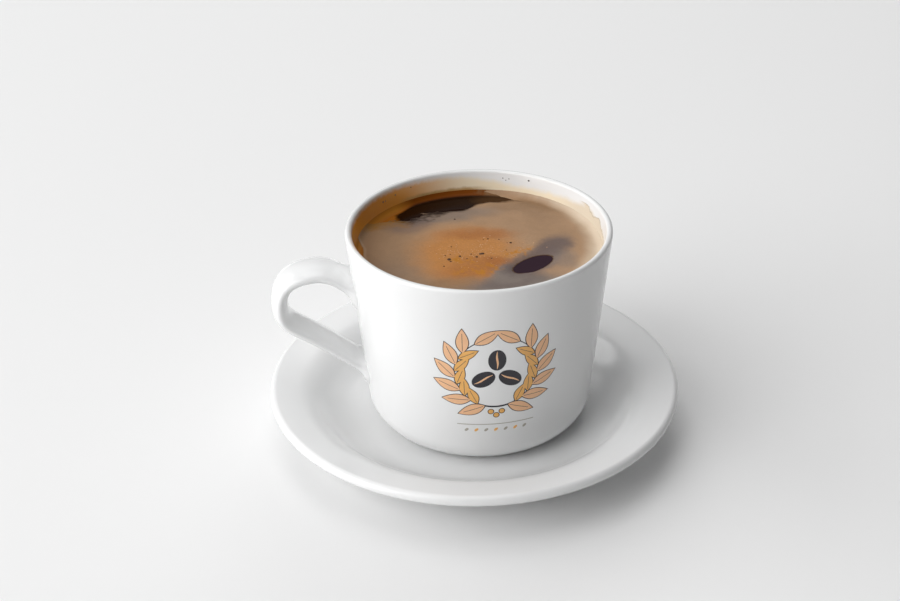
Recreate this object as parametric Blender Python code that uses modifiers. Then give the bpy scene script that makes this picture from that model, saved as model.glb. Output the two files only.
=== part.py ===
"""A straight-sided white porcelain cup of black coffee, standing on its saucer.

The origin is the middle of the saucer's underside. The handle points along -X and +Z is up.
Sizes are written in millimetres and turned into metres by MM.
"""

import math

import bmesh
import bpy

MM = 0.001
GAP = 0.3 * MM
TURNED_STEPS = 64
ARC_SAG = 0.09 * MM
MERGE = 0.00001

# Saucer: a flat floor, a sloping wall, a nearly level verge and a full round lip
SAUCER_RADIUS = 75.0 * MM
SAUCER_HEIGHT = 20.0 * MM
SAUCER_THICKNESS = 4.0 * MM
SAUCER_FLOOR = 7.0 * MM
WELL_FLOOR_RADIUS = 50.3 * MM
WELL_WALL_DEG = 46.0
VERGE_DEG = 10.5
COVE_RADIUS = 18.0 * MM
SHOULDER_RADIUS = 13.0 * MM
# The cove's underside is tighter, which leaves room for the foot ring
UNDER_COVE_RADIUS = 15.0 * MM
SAUCER_FOOT = (39.6 * MM, 43.4 * MM)
SAUCER_RECESS = 2.6 * MM

# Cup: a tapered wall with a soft bottom corner, standing a little off the saucer's middle
CUP_PLACE = (2.0 * MM, -0.2 * MM)
CUP_BASE = SAUCER_FLOOR + GAP
CUP_HEIGHT = 75.1 * MM
RIM_RADIUS = 47.0 * MM
BASE_RADIUS = 39.7 * MM
CUP_CORNER = 11.0 * MM
WALL_THICKNESS = 4.2 * MM
LIP_THICKNESS = 2.2 * MM
LIP_DEPTH = 18.0 * MM
LIP_BEND = 120.0 * MM
FLOOR_THICKNESS = 5.3 * MM
INNER_CORNER = 10.0 * MM
CUP_FOOT_INNER = 26.0 * MM
CUP_RECESS = 0.9 * MM

# Handle: an oval strap, its route given as distance from the cup's axis and height
HANDLE_WIDTH = 15.1 * MM
HANDLE_THICKNESS = 5.9 * MM
HANDLE_TAPER = 0.09
HANDLE_ROUTE = (
    (41.1 * MM, 58.1 * MM),
    (50.2 * MM, 68.6 * MM),
    (59.6 * MM, 70.0 * MM),
    (69.3 * MM, 66.1 * MM),
    (71.6 * MM, 58.4 * MM),
    (70.6 * MM, 50.4 * MM),
    (64.5 * MM, 46.7 * MM),
    (55.3 * MM, 40.5 * MM),
    (45.4 * MM, 32.5 * MM),
    (37.4 * MM, 25.6 * MM),
)
HANDLE_SIDES = 18
HANDLE_SPAN_STEPS = 4
HANDLE_BITE = 2.1 * MM

# Drink: the liquid, and the foam on it with a bare crescent at the back and a bare oval
COFFEE_LEVEL = 73.4 * MM
CREMA_THICKNESS = 0.6 * MM
CREMA_RADIUS = 42.0 * MM
CRESCENT_CHORD = 31.8 * MM
CRESCENT_DEG = 99.0
CRESCENT_WAVE = 0.9 * MM
CRESCENT_WAVE_LENGTH = 15.0 * MM
OVAL_MIDDLE = (16.8 * MM, -14.3 * MM)
OVAL_HALF = (8.9 * MM, 4.3 * MM)
OVAL_DEG = 34.0
CREMA_POINTS = 96
OVAL_POINTS = 24

# Colours, as linear red, green and blue, with roughness
PORCELAIN = ((0.86, 0.86, 0.85), 0.12)
COFFEE = ((0.018, 0.007, 0.004), 0.05)
CREMA = ((0.32, 0.19, 0.11), 0.45)


def clear_scene():
    """Remove whatever the file holds, so that each run starts the same."""
    for old in list(bpy.data.objects):
        bpy.data.objects.remove(old, do_unlink=True)


def collection(name, shown=True):
    """Make a collection linked to the scene; the ones not shown hold shapes that others use."""
    made = bpy.data.collections.new(name)
    made.hide_render = not shown
    bpy.context.scene.collection.children.link(made)
    return made


def material(name, finish):
    """Make a plain Principled material from a colour and a roughness."""
    colour, roughness = finish
    made = bpy.data.materials.new(name)
    made.use_nodes = True
    shader = made.node_tree.nodes["Principled BSDF"]
    shader.inputs["Base Color"].default_value = (*colour, 1.0)
    shader.inputs["Roughness"].default_value = roughness
    shader.inputs["Metallic"].default_value = 0.0
    return made


def unit(a, b):
    """Give the unit vector from a to b and their distance."""
    length = math.hypot(b[0] - a[0], b[1] - a[1])
    return ((b[0] - a[0]) / length, (b[1] - a[1]) / length), length


def rounded(corners):
    """Turn corners (radius, height, corner radius) into a profile whose corners are arcs."""
    points = []
    for i, (r, z, bend) in enumerate(corners):
        if bend == 0.0 or i in (0, len(corners) - 1):
            points.append((r, z))
            continue
        into, _ = unit(corners[i - 1], (r, z))
        out, _ = unit((r, z), corners[i + 1])
        cross = into[0] * out[1] - into[1] * out[0]
        turn = math.atan2(cross, into[0] * out[0] + into[1] * out[1])
        back = bend * math.tan(abs(turn) / 2.0)
        side = math.copysign(1.0, turn)
        start = (r - into[0] * back, z - into[1] * back)
        middle = (start[0] - into[1] * bend * side, start[1] + into[0] * bend * side)
        first = math.atan2(start[1] - middle[1], start[0] - middle[0])
        widest = 2.0 * math.acos(1.0 - min(ARC_SAG / bend, 0.3))
        steps = math.ceil(abs(turn) / widest)
        for k in range(steps + 1):
            angle = first + turn * k / steps
            points.append((middle[0] + bend * math.cos(angle), middle[1] + bend * math.sin(angle)))
    return points


def beside(corners, distance):
    """Shift a line of (radius, height) corners sideways, to its right, keeping its corners sharp."""
    shifted = []
    for i in range(1, len(corners) - 1):
        into, _ = unit(corners[i - 1], corners[i])
        out, _ = unit(corners[i], corners[i + 1])
        normal = (into[1] + out[1], -into[0] - out[0])
        scale = distance / (1.0 + into[0] * out[0] + into[1] * out[1])
        shifted.append((corners[i][0] + normal[0] * scale, corners[i][1] + normal[1] * scale))
    return shifted


def turned(name, profile, group, finish):
    """Turn a profile about Z with a Screw modifier."""
    mesh = bpy.data.meshes.new(name)
    edges = [(i, i + 1) for i in range(len(profile) - 1)]
    mesh.from_pydata([(r, 0.0, z) for r, z in profile], edges, [])
    made = bpy.data.objects.new(name, mesh)
    group.objects.link(made)
    mesh.materials.append(finish)
    screw = made.modifiers.new("turn", "SCREW")
    screw.axis = "Z"
    screw.angle = 2.0 * math.pi
    screw.steps = TURNED_STEPS
    screw.render_steps = TURNED_STEPS
    screw.use_merge_vertices = True
    screw.merge_threshold = MERGE
    screw.use_smooth_shade = True
    return made


def saucer_profile():
    """Follow the saucer's upper face out to the lip and its underside back to the middle."""
    wall = math.tan(math.radians(WELL_WALL_DEG))
    verge = math.tan(math.radians(VERGE_DEG))
    along = (math.cos(math.radians(VERGE_DEG)), math.sin(math.radians(VERGE_DEG)))
    half = SAUCER_THICKNESS / 2.0
    lip = (SAUCER_RADIUS - half, SAUCER_HEIGHT - half)
    lip_top = (
        lip[0] + (along[0] - along[1]) * half,
        lip[1] + (along[1] + along[0]) * half,
    )
    lip_under = (
        lip[0] + (along[0] + along[1]) * half,
        lip[1] + (along[1] - along[0]) * half,
    )
    # The well's wall and the verge meet where their two lines cross
    shoulder_r = (
        lip_top[1] - SAUCER_FLOOR + wall * WELL_FLOOR_RADIUS - verge * lip_top[0]
    ) / (wall - verge)
    shoulder = (shoulder_r, SAUCER_FLOOR + wall * (shoulder_r - WELL_FLOOR_RADIUS))
    floor_edge = (WELL_FLOOR_RADIUS, SAUCER_FLOOR)
    under = beside([(0.0, SAUCER_FLOOR), floor_edge, shoulder, lip_top], SAUCER_THICKNESS)
    inner, outer = SAUCER_FOOT
    flare = 0.9 * MM
    lip_round = half * 0.995
    return rounded([
        (0.0, SAUCER_FLOOR, 0.0),
        (*floor_edge, COVE_RADIUS),
        (*shoulder, SHOULDER_RADIUS),
        (*lip_top, lip_round),
        (*lip_under, lip_round),
        (*under[1], SHOULDER_RADIUS - SAUCER_THICKNESS),
        (*under[0], UNDER_COVE_RADIUS),
        (outer + flare, SAUCER_FLOOR - SAUCER_THICKNESS, flare),
        (outer, 0.0, flare / 2.0),
        (inner, 0.0, flare / 2.0),
        (inner - flare, SAUCER_RECESS, flare),
        (0.0, SAUCER_RECESS, 0.0),
    ])


def cup_wall():
    """Give the outer wall's slope, as the radius that it gains for each metre of height."""
    return (RIM_RADIUS - BASE_RADIUS) / CUP_HEIGHT


def inner_radius(height):
    """Give the inner wall's radius at a height below the lip's bevel."""
    straight = BASE_RADIUS + cup_wall() * (height - CUP_BASE)
    return straight - WALL_THICKNESS * math.hypot(1.0, cup_wall())


def lip_radius(height):
    """Give the inner wall's radius at a height in the lip's bevel."""
    top = CUP_BASE + CUP_HEIGHT
    low = inner_radius(top - LIP_DEPTH)
    share = (height - top + LIP_DEPTH) / LIP_DEPTH
    return low + (RIM_RADIUS - LIP_THICKNESS - low) * share


def cup_profile():
    """Follow the cup's inside up to the lip, and its outside down to the recess under it."""
    top = CUP_BASE + CUP_HEIGHT
    floor = CUP_BASE + FLOOR_THICKNESS
    bevel = top - LIP_DEPTH
    lip_round = LIP_THICKNESS / 2.0 * 0.995
    recess = CUP_BASE + CUP_RECESS
    return rounded([
        (0.0, floor, 0.0),
        (inner_radius(floor), floor, INNER_CORNER),
        (inner_radius(bevel), bevel, LIP_BEND),
        (RIM_RADIUS - LIP_THICKNESS, top, lip_round),
        (RIM_RADIUS, top, lip_round),
        (BASE_RADIUS, CUP_BASE, CUP_CORNER),
        (CUP_FOOT_INNER, CUP_BASE, 0.4 * MM),
        (CUP_FOOT_INNER - CUP_RECESS, recess, 0.4 * MM),
        (0.0, recess, 0.0),
    ])


def handle_curve():
    """Lay the strap's centre line and give it a round section, tapering towards its lower end."""
    curve = bpy.data.curves.new("handle", "CURVE")
    curve.dimensions = "3D"
    curve.resolution_u = HANDLE_SPAN_STEPS
    curve.bevel_depth = HANDLE_THICKNESS / 2.0
    curve.bevel_resolution = (HANDLE_SIDES - 4) // 2
    curve.use_fill_caps = True
    spline = curve.splines.new("NURBS")
    spline.points.add(len(HANDLE_ROUTE) - 1)
    last = len(HANDLE_ROUTE) - 1
    for i, (r, z) in enumerate(HANDLE_ROUTE):
        spline.points[i].co = (-r, 0.0, z, 1.0)
        spline.points[i].radius = 1.0 + HANDLE_TAPER * (1.0 - 2.0 * i / last)
    spline.order_u = 4
    spline.use_endpoint_u = True
    return bpy.data.objects.new("handle_curve", curve)


def handle(group):
    """Make the strap a closed mesh, stretched across so that its section is oval."""
    guide = handle_curve()
    group.objects.link(guide)
    bpy.context.view_layer.update()
    solved = guide.evaluated_get(bpy.context.evaluated_depsgraph_get())
    mesh = bpy.data.meshes.new_from_object(solved)
    mesh.name = "handle"
    shape = bmesh.new()
    shape.from_mesh(mesh)
    bmesh.ops.remove_doubles(shape, verts=shape.verts, dist=MERGE)
    bmesh.ops.scale(shape, vec=(1.0, HANDLE_WIDTH / HANDLE_THICKNESS, 1.0), verts=shape.verts)
    bmesh.ops.recalc_face_normals(shape, faces=shape.faces)
    shape.to_mesh(mesh)
    shape.free()
    bpy.data.objects.remove(guide, do_unlink=True)
    made = bpy.data.objects.new("handle", mesh)
    made.display_type = "WIRE"
    made.hide_render = True
    group.objects.link(made)
    return made


def core(group, finish):
    """Make the cone that trims the strap's ends, so that they stop halfway through the wall."""
    low = CUP_BASE + CUP_CORNER
    high = CUP_BASE + CUP_HEIGHT - LIP_DEPTH / 2.0
    side = [
        (0.0, high),
        (BASE_RADIUS + cup_wall() * (high - CUP_BASE) - HANDLE_BITE, high),
        (BASE_RADIUS + cup_wall() * (low - CUP_BASE) - HANDLE_BITE, low),
        (0.0, low),
    ]
    made = turned("core", side, group, finish)
    made.display_type = "WIRE"
    made.hide_render = True
    return made


def combine(body, operation, other):
    """Add a Boolean that works on a body with another object."""
    step = body.modifiers.new(other.name, "BOOLEAN")
    step.operation = operation
    step.solver = "EXACT"
    step.object = other


def cup(parts, cutters, porcelain):
    """Turn the cup, trim the strap's ends and join it to the wall."""
    body = turned("cup", cup_profile(), parts, porcelain)
    strap = handle(cutters)
    middle = core(cutters, porcelain)
    combine(strap, "DIFFERENCE", middle)
    combine(body, "UNION", strap)
    for piece in (body, strap, middle):
        piece.location = (*CUP_PLACE, 0.0)
    return body


def coffee(parts, finish):
    """Fill the cup up to the liquid's level, clear of its wall."""
    floor = CUP_BASE + FLOOR_THICKNESS + GAP
    bevel = CUP_BASE + CUP_HEIGHT - LIP_DEPTH
    clear = 1.05 * GAP
    side = rounded([
        (0.0, COFFEE_LEVEL, 0.0),
        (lip_radius(COFFEE_LEVEL) - clear, COFFEE_LEVEL, 0.0),
        (inner_radius(bevel) - clear, bevel, 0.0),
        (inner_radius(floor) - clear, floor, INNER_CORNER - GAP),
        (0.0, floor, 0.0),
    ])
    body = turned("coffee", side, parts, finish)
    body.location = (*CUP_PLACE, 0.0)
    return body


def crema_edge():
    """Give the foam's outer edge: a circle, cut off along a wavy line across its back."""
    facing = math.radians(CRESCENT_DEG)
    points = []
    for i in range(CREMA_POINTS):
        angle = 2.0 * math.pi * i / CREMA_POINTS
        away = math.cos(angle - facing)
        across = CRESCENT_CHORD * math.tan(angle - facing)
        wave = CRESCENT_WAVE * math.sin(2.0 * math.pi * across / CRESCENT_WAVE_LENGTH)
        reach = (CRESCENT_CHORD + wave) / away if away > 0.1 else CREMA_RADIUS
        r = min(CREMA_RADIUS, reach)
        points.append((r * math.cos(angle), r * math.sin(angle)))
    return points


def oval_edge():
    """Give the edge of the bare oval in the foam."""
    turn = math.radians(OVAL_DEG)
    points = []
    for i in range(OVAL_POINTS):
        angle = 2.0 * math.pi * i / OVAL_POINTS
        u = OVAL_HALF[0] * math.cos(angle)
        v = OVAL_HALF[1] * math.sin(angle)
        x = OVAL_MIDDLE[0] + u * math.cos(turn) - v * math.sin(turn)
        y = OVAL_MIDDLE[1] + u * math.sin(turn) + v * math.cos(turn)
        points.append((x, y))
    return points


def crema(parts, finish):
    """Make the foam a flat outline with a hole, as thick as the layer."""
    curve = bpy.data.curves.new("crema", "CURVE")
    curve.dimensions = "2D"
    curve.fill_mode = "BOTH"
    curve.extrude = CREMA_THICKNESS / 2.0
    for edge in (crema_edge(), oval_edge()):
        spline = curve.splines.new("POLY")
        spline.points.add(len(edge) - 1)
        for point, (x, y) in zip(spline.points, edge):
            point.co = (x, y, 0.0, 1.0)
        spline.use_cyclic_u = True
    curve.materials.append(finish)
    made = bpy.data.objects.new("crema", curve)
    made.location = (*CUP_PLACE, COFFEE_LEVEL + GAP + CREMA_THICKNESS / 2.0)
    parts.objects.link(made)
    return made


def main():
    clear_scene()
    parts = collection("coffee_cup")
    cutters = collection("cutters", shown=False)
    porcelain = material("porcelain", PORCELAIN)
    turned("saucer", saucer_profile(), parts, porcelain)
    cup(parts, cutters, porcelain)
    coffee(parts, material("coffee", COFFEE))
    crema(parts, material("crema", CREMA))


main()
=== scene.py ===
# %% [markdown]
# # A cup of black coffee on its saucer
#
# This lesson dresses a measured model of a white porcelain cup, its saucer and the coffee in it.
# The measured solids are loaded first. They are exact but plain, with visible facets, so each
# one gets a finer piece of the same size and form, with a glaze, a liquid or a foam for a surface.

# %% Load the measured solids
import math
import random

import bmesh
import bpy
from mathutils import Matrix, Vector, noise


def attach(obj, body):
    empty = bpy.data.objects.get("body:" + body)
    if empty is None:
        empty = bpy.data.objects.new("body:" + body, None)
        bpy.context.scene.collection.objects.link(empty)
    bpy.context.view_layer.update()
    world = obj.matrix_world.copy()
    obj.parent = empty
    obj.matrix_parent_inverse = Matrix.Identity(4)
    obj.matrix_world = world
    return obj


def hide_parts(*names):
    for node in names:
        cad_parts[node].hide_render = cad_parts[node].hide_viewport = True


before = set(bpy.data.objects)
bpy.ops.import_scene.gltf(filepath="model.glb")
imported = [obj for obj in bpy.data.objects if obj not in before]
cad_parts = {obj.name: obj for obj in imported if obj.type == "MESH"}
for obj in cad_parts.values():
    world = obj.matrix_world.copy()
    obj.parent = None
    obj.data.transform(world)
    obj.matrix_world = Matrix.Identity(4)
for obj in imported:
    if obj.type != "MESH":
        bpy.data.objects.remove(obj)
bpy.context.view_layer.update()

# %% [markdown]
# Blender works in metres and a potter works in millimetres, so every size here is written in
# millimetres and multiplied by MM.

MM = 0.001

# %% [markdown]
# ## The camera
#
# The cup is seen from its front, from about thirty degrees above. Where the camera stood was
# worked out from the outlines of the rim, the wall and the saucer, which only one place and one
# lens explain. A camera looks down its own -Z, so it is first tipped up by ninety degrees less
# the pitch, after it has been rolled, and last turned about the world's Z.

# %% Camera
CAMERA_PLACE = (-60.09, -498.44, 342.93)
CAMERA_YAW = 5.909
CAMERA_PITCH = 30.067
CAMERA_ROLL = -0.900
CAMERA_LENS = 64.55
CAMERA_FILM = 36.0

bpy.ops.object.camera_add(location=[v * MM for v in CAMERA_PLACE])
camera = bpy.context.object
turn = Matrix.Rotation(math.radians(-CAMERA_YAW), 3, "Z")
tip = Matrix.Rotation(math.radians(90.0 - CAMERA_PITCH), 3, "X")
roll = Matrix.Rotation(math.radians(CAMERA_ROLL), 3, "Z")
aim = turn @ tip @ roll
camera.rotation_euler = aim.to_euler()
camera.data.lens = CAMERA_LENS
camera.data.sensor_width = CAMERA_FILM
camera.data.clip_start = 0.01
bpy.context.scene.camera = camera
print("the camera looks along", [round(v, 3) for v in aim @ Vector((0, 0, -1))])

# %% [markdown]
# ## Table and light
#
# The set stands on a wide white table, a hair below the saucer's foot, so that the two faces
# don't fight for the same place. Every finish in this lesson is made by a recipe: a function that
# adds what nodes it needs and gives the inputs of the Principled shader. A value that is the
# same all over is set in the shader's own socket, and one that varies is linked to it.

# %% Table
TABLE_SIZE = 8.0
TABLE_DROP = 0.05
TABLE_WHITE = (0.82, 0.82, 0.82, 1.0)
TABLE_ROUGHNESS = 0.6


def fill(tree, node, inputs):
    """Fill a node's inputs: a socket is linked and a plain value is set."""
    for name, value in inputs.items():
        if isinstance(value, bpy.types.NodeSocket):
            tree.links.new(value, node.inputs[name])
        else:
            node.inputs[name].default_value = value


def dress(piece, name, recipe, *values):
    """Give a piece one finish, named and made by a recipe."""
    made = bpy.data.materials.new(name)
    made.use_nodes = True
    tree = made.node_tree
    fill(tree, tree.nodes["Principled BSDF"], recipe(tree, *values))
    piece.data.materials.clear()
    piece.data.materials.append(made)


def matt_white(tree):
    """Plain matt white, for a table that is only a background."""
    return {"Base Color": TABLE_WHITE, "Roughness": TABLE_ROUGHNESS}


bpy.ops.mesh.primitive_plane_add(size=TABLE_SIZE, location=(0.0, 0.0, -TABLE_DROP * MM))
table = bpy.context.object
table.name = "table"
dress(table, "white table", matt_white)
print("the table lies", TABLE_DROP, "mm below the saucer's foot")

# %% [markdown]
# The view transform is the film in the camera. The standard one shows colours as they are, which
# suits white china. The default one is made for strong contrasts and turns white to grey.
#
# White china on a white table only shows its form by soft differences of light. A row of wide
# soft boxes stands round the left side, from the front to the back, so that the wall shades from
# near white at the left to grey at the right, and the shadow falls softly to the right. One hangs
# overhead, and a weak even sky fills the rest. Their strengths were found by rendering the
# set under each one alone and adding the pictures up, which light allows. The low one at the back
# would show as a hard streak in the saucer's cove, so it lights the set but isn't mirrored in it.

# %% Light
SOFT_BOX = (2.4, 1.8)
SOFT_BOX_AWAY = 3.0
SOFT_BOXES = (
    ("front left", 55.0, 38.0, 47.0),
    ("left low", 70.0, 12.0, 45.0),
    ("left", 110.0, 28.0, 35.0),
    ("back", 180.0, 55.0, 14.0),
    ("back low", 197.0, 8.0, 58.0),
    ("overhead", 90.0, 85.0, 25.0),
)
NOT_MIRRORED = ("back low",)
SKY = {"Color": (1.0, 1.0, 1.0, 1.0), "Strength": 0.05}


def soft_box(name, turn_deg, height_deg, power):
    """Hang a soft box that faces the cup, its turn counted from the front towards the left."""
    turned = math.radians(turn_deg)
    raised = math.radians(height_deg)
    way = Vector((
        -math.sin(turned) * math.cos(raised),
        -math.cos(turned) * math.cos(raised),
        math.sin(raised),
    ))
    bpy.ops.object.light_add(type="AREA", location=way * SOFT_BOX_AWAY)
    lamp = bpy.context.object
    lamp.name = name + " soft box"
    lamp.data.shape = "RECTANGLE"
    lamp.data.size, lamp.data.size_y = SOFT_BOX
    lamp.data.energy = power
    lamp.rotation_euler = (-way).to_track_quat("-Z", "Y").to_euler()
    lamp.visible_glossy = name not in NOT_MIRRORED


for box in SOFT_BOXES:
    soft_box(*box)

sky = bpy.data.worlds.new("even sky")
sky.use_nodes = True
fill(sky.node_tree, sky.node_tree.nodes["Background"], SKY)
bpy.context.scene.world = sky
bpy.context.scene.view_settings.view_transform = "Standard"

# %% [markdown]
# ## Small helpers for modelling
#
# An operator acts on whatever is selected, so each piece starts from a clean slate. A shape that
# was turned, stretched or cut is mended: points that fell together are merged, and then the
# faces are turned outwards. A finished piece is settled, so that the object sits at the origin.

# %% Helpers for modelling
MERGE = 0.002


def clean_slate():
    """Leave edit mode and deselect everything."""
    if bpy.context.object and bpy.context.object.mode != "OBJECT":
        bpy.ops.object.mode_set(mode="OBJECT")
    bpy.ops.object.select_all(action="DESELECT")


def work_on(piece):
    """Make one piece the only selected and the active one."""
    clean_slate()
    piece.select_set(True)
    bpy.context.view_layer.objects.active = piece


def edit(piece):
    """Open a piece in edit mode with all of it selected."""
    work_on(piece)
    bpy.ops.object.mode_set(mode="EDIT")
    bpy.ops.mesh.select_all(action="SELECT")


def mend(piece):
    """Merge a piece's doubled points and turn its faces outwards."""
    edit(piece)
    bpy.ops.mesh.remove_doubles(threshold=MERGE * MM)
    bpy.ops.mesh.normals_make_consistent(inside=False)
    bpy.ops.object.mode_set(mode="OBJECT")

# %% Helpers for finishing


def apply(piece, modifier):
    """Apply one modifier of a piece."""
    work_on(piece)
    bpy.ops.object.modifier_apply(modifier=modifier.name)


def settle(piece):
    """Put a piece's place, turn and size into its mesh."""
    work_on(piece)
    bpy.ops.object.transform_apply(location=True, rotation=True, scale=True)


def set_down(piece, middle):
    """Move a piece from the origin to a middle and settle it there."""
    piece.location = (middle[0] * MM, middle[1] * MM, 0.0)
    settle(piece)


def heading(turn_deg):
    """Give the flat direction at a turn from +X towards +Y."""
    turned = math.radians(turn_deg)
    return Vector((math.cos(turned), math.sin(turned)))


def report(piece):
    """Print a piece's size and how fine its mesh is."""
    size = [round(v / MM, 1) for v in piece.dimensions]
    triangles = sum(len(face.vertices) - 2 for face in piece.data.polygons)
    print(piece.name, "measures", size, "mm and has", triangles, "triangles")

# %% [markdown]
# ## Turning a profile
#
# Plates and cups are formed on a wheel under a template: half of their section, turned about an
# axis. Here the template is drawn the same way. A small plane is merged to one point, the point
# is extruded from corner to corner, and each corner is rounded by a vertex bevel, whose length
# along the two edges is the radius times the tangent of half the turn. Spin then turns it.

# %% Helpers for turning
TURN_STEPS = 192
BEVEL_STEP_DEG = 9.0
SHARP_DEG = 35.0


def profile(name, corners):
    """Draw a section through (radius, height, corner radius) points, in millimetres."""
    clean_slate()
    bpy.ops.mesh.primitive_plane_add(size=MM, location=(0.0, 0.0, 0.0))
    piece = bpy.context.object
    piece.name = name
    bpy.ops.object.mode_set(mode="EDIT")
    bpy.ops.mesh.merge(type="CENTER")
    bpy.ops.transform.translate(value=(corners[0][0] * MM, 0.0, corners[0][1] * MM))
    for (r, z, _), (next_r, next_z, _) in zip(corners, corners[1:]):
        step = ((next_r - r) * MM, 0.0, (next_z - z) * MM)
        bpy.ops.mesh.extrude_vertices_move(TRANSFORM_OT_translate={"value": step})
    for before, corner, after in zip(corners, corners[1:], corners[2:]):
        if corner[2] > 0.0:
            round_corner(piece, before, corner, after)
    bpy.ops.object.mode_set(mode="OBJECT")
    return piece


def round_corner(piece, before, corner, after):
    """Round one corner of a section to its radius."""
    into = Vector(corner[:2]) - Vector(before[:2])
    out = Vector(after[:2]) - Vector(corner[:2])
    bend = abs(into.angle_signed(out))
    place = Vector((corner[0], 0.0, corner[1])) * MM
    bpy.ops.mesh.select_mode(type="VERT")
    bpy.ops.mesh.select_all(action="DESELECT")
    shape = bmesh.from_edit_mesh(piece.data)
    nearest = min(shape.verts, key=lambda point: (point.co - place).length)
    nearest.select = True
    bmesh.update_edit_mesh(piece.data)
    bpy.ops.mesh.bevel(
        offset=corner[2] * math.tan(bend / 2.0) * MM,
        offset_type="OFFSET",
        segments=max(3, math.ceil(math.degrees(bend) / BEVEL_STEP_DEG)),
        profile=0.5,
        affect="VERTICES",
        clamp_overlap=False,
    )


def spin(piece, middle=(0.0, 0.0)):
    """Turn a section about a vertical axis and set it down at a middle."""
    edit(piece)
    bpy.ops.mesh.spin(
        steps=TURN_STEPS,
        angle=math.tau,
        use_auto_merge=True,
        center=(0.0, 0.0, 0.0),
        axis=(0.0, 0.0, 1.0),
    )
    mend(piece)
    set_down(piece, middle)
    bpy.ops.object.shade_smooth_by_angle(angle=math.radians(SHARP_DEG))
    return piece

# %% [markdown]
# ## The saucer
#
# The saucer has a flat floor, a cove, a sloping wall, a soft shoulder, a nearly level verge and a
# full round lip. Its underside runs nearly parallel, about four millimetres below, and stands on
# a foot ring. The slopes meet at corners worked out from straight lines, and the bevels do the
# rest. A lip's two bevels stay a little short of meeting, so that no edge between them is lost.

# %% Saucer
SAUCER_RADIUS = 74.96
SAUCER_LIP_HEIGHT = 17.98
SAUCER_LIP = 1.98
SAUCER_FLOOR = 7.0
SAUCER_WALL = 4.0
WELL_RADIUS = 50.3
WELL_SLOPE = math.tan(math.radians(46.0))
COVE = 18.0
SHOULDER = 13.0
VERGE_DEG = 10.5
UNDER_COVE = 15.0
UNDER_SHOULDER = 9.0
COVE_SHIFT = 1.70
SHOULDER_SHIFT = (1.99, -3.70)
FOOT_RING = (39.6, 43.4)
FOOT_FLARE = 0.9
FOOT_EDGE = 0.45
FOOT_RECESS = 2.6
NEARLY_ROUND = 0.99


def saucer_corners():
    """List the saucer's section, from the middle of its floor round to the middle underneath."""
    verge = math.tan(math.radians(VERGE_DEG))
    along = heading(VERGE_DEG)
    across = Vector((-along[1], along[0]))
    lip = Vector((SAUCER_RADIUS - SAUCER_LIP, SAUCER_LIP_HEIGHT))
    top = lip + (along + across) * SAUCER_LIP
    under = lip + (along - across) * SAUCER_LIP
    rise = top[1] - SAUCER_FLOOR + WELL_SLOPE * WELL_RADIUS - verge * top[0]
    shoulder_r = rise / (WELL_SLOPE - verge)
    shoulder_z = SAUCER_FLOOR + WELL_SLOPE * (shoulder_r - WELL_RADIUS)
    lip_corner = SAUCER_LIP * NEARLY_ROUND
    underside = SAUCER_FLOOR - SAUCER_WALL
    return [
        (0.0, SAUCER_FLOOR, 0.0),
        (WELL_RADIUS, SAUCER_FLOOR, COVE),
        (shoulder_r, shoulder_z, SHOULDER),
        (*top, lip_corner),
        (*under, lip_corner),
        (shoulder_r + SHOULDER_SHIFT[0], shoulder_z + SHOULDER_SHIFT[1], UNDER_SHOULDER),
        (WELL_RADIUS + COVE_SHIFT, underside, UNDER_COVE),
        (FOOT_RING[1] + FOOT_FLARE, underside, FOOT_FLARE),
        (FOOT_RING[1], 0.0, FOOT_EDGE),
        (FOOT_RING[0], 0.0, FOOT_EDGE),
        (FOOT_RING[0] - FOOT_FLARE, FOOT_RECESS, FOOT_FLARE),
        (0.0, FOOT_RECESS, 0.0),
    ]


saucer = spin(profile("saucer_dish", saucer_corners()))
report(saucer)

# %% [markdown]
# ## The cup's body
#
# The cup is a tapered wall with a soft corner at its base. The wall is about four millimetres
# thick and thins over its last eighteen millimetres to a rounded lip that is pleasant to drink
# from. It is turned like the saucer, but about its own axis, because it was set down two
# millimetres off the saucer's middle.

# %% Cup body
CUP_MIDDLE = (2.0, -0.2)
CUP_BASE = 7.3
CUP_TOP = 82.4
RIM_RADIUS = 47.0
BASE_RADIUS = 39.7
BASE_CORNER = 11.0
WALL = 4.2
LIP = 2.2
BEVEL_HEIGHT = 64.4
BEVEL_BEND = 120.0
INSIDE_FLOOR = 12.6
INSIDE_CORNER = 10.0
RECESS_RADII = (26.0, 25.1)
RECESS_TOP = 8.2
RECESS_EDGE = 0.4
WALL_SLOPE = (RIM_RADIUS - BASE_RADIUS) / (CUP_TOP - CUP_BASE)


def outer_radius(z):
    """Radius of the cup's outside at a height."""
    return BASE_RADIUS + WALL_SLOPE * (z - CUP_BASE)


def inner_radius(z):
    """Radius of the cup's inside at a height."""
    if z <= BEVEL_HEIGHT:
        return outer_radius(z) - WALL * math.hypot(1.0, WALL_SLOPE)
    share = (z - BEVEL_HEIGHT) / (CUP_TOP - BEVEL_HEIGHT)
    low = inner_radius(BEVEL_HEIGHT)
    return low + (RIM_RADIUS - LIP - low) * share


cup_corners = [
    (0.0, INSIDE_FLOOR, 0.0),
    (inner_radius(INSIDE_FLOOR), INSIDE_FLOOR, INSIDE_CORNER),
    (inner_radius(BEVEL_HEIGHT), BEVEL_HEIGHT, BEVEL_BEND),
    (RIM_RADIUS - LIP, CUP_TOP, LIP / 2.0 * NEARLY_ROUND),
    (RIM_RADIUS, CUP_TOP, LIP / 2.0 * NEARLY_ROUND),
    (BASE_RADIUS, CUP_BASE, BASE_CORNER),
    (RECESS_RADII[0], CUP_BASE, RECESS_EDGE),
    (RECESS_RADII[1], RECESS_TOP, RECESS_EDGE),
    (0.0, RECESS_TOP, 0.0),
]
cup = spin(profile("cup_body", cup_corners), CUP_MIDDLE)
report(cup)

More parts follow.
